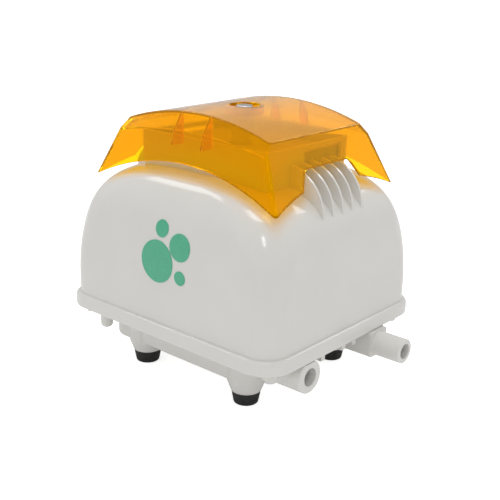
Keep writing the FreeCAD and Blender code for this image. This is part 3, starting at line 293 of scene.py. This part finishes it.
def floor_paper():
    """Matte white paper with a barely visible cloud."""
    g = Graph("floor_paper")
    g.colour(g.noise(3.0), NOISE_LOW, (0.93, 0.93, 0.93), NOISE_HIGH, (0.95, 0.95, 0.95))
    g.set(Roughness=0.9, Specular_IOR_Level=0.0, Emission_Color=WHITE)
    g.join(seen_level(g.tree, FLOOR_GLOW, FLOOR_GLOW_SEEN), g.shader.inputs["Emission Strength"])
    return g.material


# slot: what makes it, then its lighter colour, its darker colour and anything else that sets it apart
FINISHES = {
    "white_abs": (plastic, (0.755, 0.743, 0.708), (0.738, 0.726, 0.690), (0.11, 0.18)),
    "foot_rubber": (rubber, (0.016, 0.016, 0.016), (0.009, 0.009, 0.009)),
    "seal_rubber": (rubber, (0.06, 0.06, 0.06), (0.035, 0.035, 0.035)),
    "diaphragm_rubber": (rubber, (0.045, 0.045, 0.048), (0.025, 0.025, 0.028)),
    "screw_steel": (metal, (0.72, 0.72, 0.71), (0.52, 0.52, 0.52)),
    "brass_insert": (metal, (0.78, 0.58, 0.27), (0.58, 0.40, 0.16)),
    "inner_plastic": (plastic, (0.34, 0.35, 0.35), (0.28, 0.29, 0.29), (0.35, 0.5)),
    "cast_frame": (metal, (0.62, 0.62, 0.61), (0.44, 0.44, 0.44), (0.45, 0.62), (1, 1, 1), 420.0),
    "core_steel": (metal, (0.40, 0.39, 0.38), (0.24, 0.24, 0.24), (0.35, 0.5), (1, 60, 1), 60.0),
    "magnet_black": (metal, (0.18, 0.18, 0.19), (0.10, 0.10, 0.11), (0.3, 0.5), (1, 1, 1), 300.0),
    "hose_rubber": (rubber, (0.05, 0.05, 0.055), (0.03, 0.03, 0.03)),
}


def make_materials():
    made = {slot: make(slot, *values) for slot, (make, *values) in FINISHES.items()}
    made["amber_cover"] = amber_plastic()
    made["badge_print"] = badge_print()
    made["filter_felt"] = felt()
    made["coil_wire"] = coil()
    return made


def node_slot(node, thing):
    """The record's slot that a CAD node came in with."""
    held = thing.data.materials[0].name if thing.data.materials else ""
    for name in SLOTS:
        if held.startswith(name):
            return name
    raise SystemExit(f"no slot for {node}: {held}")


def dress_nodes(materials):
    for node, thing in NODES.items():
        slot = node_slot(node, thing)
        thing.data.materials.clear()
        thing.data.materials.append(materials[slot])


# ---------------------------------------------------------------- diaphragms
ROD_RADIUS = 0.004
ROLL_WIDTH = 0.009
ROLL_HEIGHT = 0.003
ROLL_STEPS = 12
WEDGES = 12
WEDGE_STEPS = 8
SHARP_ANGLE = 0.6
FULL_TURN = 2 * math.pi


def swept_ring(name, profile, middle, start, end, steps):
    """A closed outline of (x, radius) points swept about the shuttle's line, all round or over one wedge."""
    whole = end - start > FULL_TURN - 1e-6
    rows = steps if whole else steps + 1
    count = len(profile)
    points = []
    for row in range(rows):
        angle = start + (end - start) * row / steps
        points += [(x, r * math.cos(angle), middle + r * math.sin(angle)) for x, r in profile]
    faces = []
    for row in range(steps):
        this, after = row * count, (row + 1) % rows * count
        for k in range(count):
            n = (k + 1) % count
            faces.append((this + k, this + n, after + n, after + k))
    if not whole:
        faces.append(tuple(reversed(range(count))))
        faces.append(tuple((rows - 1) * count + k for k in range(count)))
    mesh = bpy.data.meshes.new(name)
    mesh.from_pydata(points, [], faces)
    mesh.shade_smooth()
    mesh.set_sharp_from_angle(angle=SHARP_ANGLE)
    piece = bpy.data.objects.new(name, mesh)
    bpy.context.scene.collection.objects.link(piece)
    return piece


def diaphragm(side, sign, material):
    """Rim on the case, centre on the shuttle, and a rolled web between them."""
    node = f"diaphragm_{side}"
    low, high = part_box(node)
    disc_low, disc_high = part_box("outer_discs")
    outer = (high[2] - low[2]) / 2
    middle = (high[2] + low[2]) / 2
    inner = (disc_high[2] - disc_low[2]) / 2
    web = inner + ROLL_WIDTH
    back = low[0] if sign > 0 else high[0]
    thick = high[0] - low[0] - ROLL_HEIGHT

    def flat(r0, r1):
        front = back + sign * thick
        return [(back, r0), (back, r1), (front, r1), (front, r0)]

    def rise(share):
        return sign * ROLL_HEIGHT * (1 - math.cos(FULL_TURN * share)) / 2

    shares = [k / ROLL_STEPS for k in range(ROLL_STEPS + 1)]
    roll = [(back + rise(t), inner + ROLL_WIDTH * t) for t in shares]
    roll += [(x + sign * thick, r) for x, r in reversed(roll)]
    steps = WEDGES * WEDGE_STEPS
    rim = swept_ring(f"{node}_rim", flat(web, outer), middle, 0, FULL_TURN, steps)
    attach(rim, "case")
    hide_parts(node)
    centre = swept_ring(f"{node}_centre", flat(ROD_RADIUS, inner), middle, 0, FULL_TURN, steps)
    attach(centre, "shuttle")
    pieces = [rim, centre]
    for k in range(WEDGES):
        a0, a1 = FULL_TURN * k / WEDGES, FULL_TURN * (k + 1) / WEDGES
        wedge = swept_ring(f"{node}_web_{k:02d}", roll, middle, a0, a1, WEDGE_STEPS)
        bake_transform(wedge)
        pieces.append(wedge)
    for piece in pieces:
        piece.data.materials.append(material)


# ---------------------------------------------------------------- floor and tent
def make_floor():
    mesh = bpy.data.meshes.new("floor")
    half = FLOOR_SIZE / 2
    corners = [(-half, -half, 0), (half, -half, 0), (half, half, 0), (-half, half, 0)]
    mesh.from_pydata(corners, [], [(0, 1, 2, 3)])
    floor = bpy.data.objects.new("floor", mesh)
    bpy.context.scene.collection.objects.link(floor)
    floor.data.materials.append(floor_paper())


def make_tent():
    world = bpy.data.worlds.new("studio")
    bpy.context.scene.world = world
    world.use_nodes = True
    tree = world.node_tree
    tent = tree.nodes["Background"]
    tent.inputs["Color"].default_value = (*WHITE, 1.0)
    tree.links.new(seen_level(tree, TENT_LIGHT, TENT_SEEN), tent.inputs["Strength"])


make_camera()
materials = make_materials()
dress_nodes(materials)
diaphragm("left", -1, materials["diaphragm_rubber"])
diaphragm("right", 1, materials["diaphragm_rubber"])
make_floor()
make_tent()
for light in LIGHTS:
    area_light(*light)
bpy.context.scene.view_settings.view_transform = "Standard"
